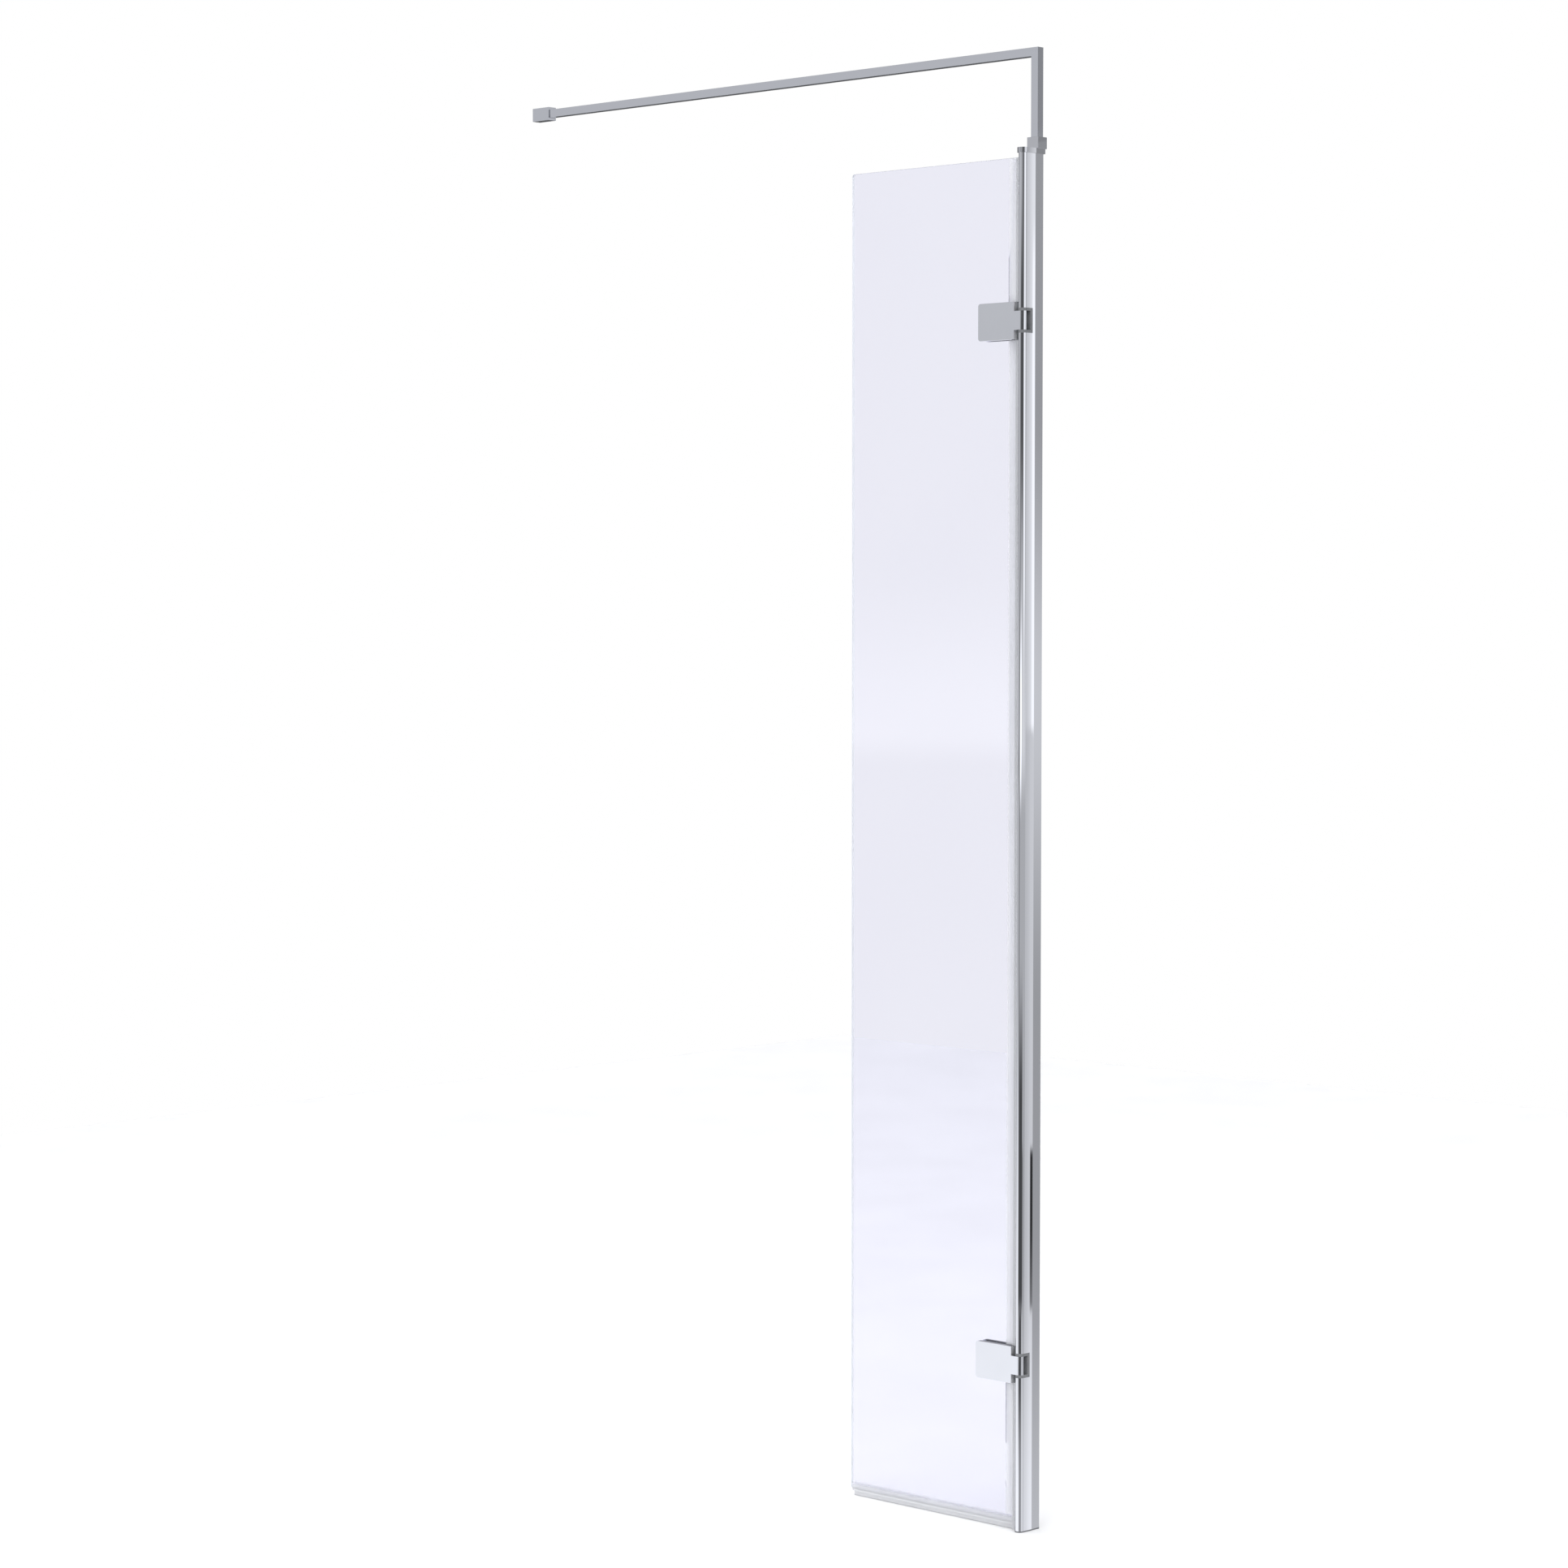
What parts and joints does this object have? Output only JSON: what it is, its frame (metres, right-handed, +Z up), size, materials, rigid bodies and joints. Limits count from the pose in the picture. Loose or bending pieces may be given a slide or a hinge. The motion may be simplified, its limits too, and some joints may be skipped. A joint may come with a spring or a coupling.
{
  "type": "wet room shower screen",
  "caption": "Narrow hinged glass return panel for a wet room, on a slim post with clamp hinges, clear seals and a square bracing arm to the wall.",
  "frame": {"origin": "on the floor, on the hinge axis of the post", "axes": "+Z up along the hinge axis, -X along the panel and the arm to the wall, +Y out of the open back of the post"},
  "size_m": [1.0504, 0.0486, 2.1212],
  "materials": {
    "post_chrome": "polished",
    "chrome": "polished",
    "arm_chrome": "polished",
    "steel": "satin",
    "aluminium": "satin",
    "grey_plastic": "satin",
    "white_plastic": "satin",
    "gasket": "matte",
    "pad": "matte",
    "glass": "polished",
    "clear_seal": "translucent"
  },
  "bodies": {
    "frame": {"post_profile": "post_chrome", "post_top_cap": "chrome", "post_foot": "grey_plastic", "screen_gasket_left": "gasket", "screen_gasket_right": "gasket", "lower_hinge_liner": "grey_plastic", "upper_hinge_liner": "grey_plastic", "lower_pivot_pin": "steel", "upper_pivot_pin": "steel", "arm_anchor_block": "aluminium", "anchor_screws": "steel", "arm_socket": "chrome", "socket_screw": "steel", "socket_grub_screw": "steel", "arm_leg": "arm_chrome", "arm_bar": "arm_chrome", "arm_corner_joiner": "aluminium", "wall_bracket_cover": "arm_chrome", "wall_bracket_base": "aluminium", "bracket_grub_screws": "steel"},
    "panel": {"glass_panel": "glass", "lower_hinge_leaf": "chrome", "upper_hinge_leaf": "chrome", "lower_back_plate": "chrome", "upper_back_plate": "chrome", "lower_front_pad": "pad", "upper_front_pad": "pad", "lower_back_pad": "pad", "upper_back_pad": "pad", "lower_knuckle_bush": "white_plastic", "upper_knuckle_bush": "white_plastic", "lower_clamp_screws": "steel", "upper_clamp_screws": "steel", "lower_glass_sleeves": "white_plastic", "upper_glass_sleeves": "white_plastic", "bottom_side_seal": "clear_seal", "middle_side_seal": "clear_seal", "top_side_seal": "clear_seal", "drip_seal": "clear_seal"}
  },
  "joints": [
    {"name": "panel_swing", "type": "hinge", "parent": "frame", "child": "panel", "pos_m": [0, 0, 0], "axis": [0, 0, 1], "range_deg": [0, 180]}
  ]
}
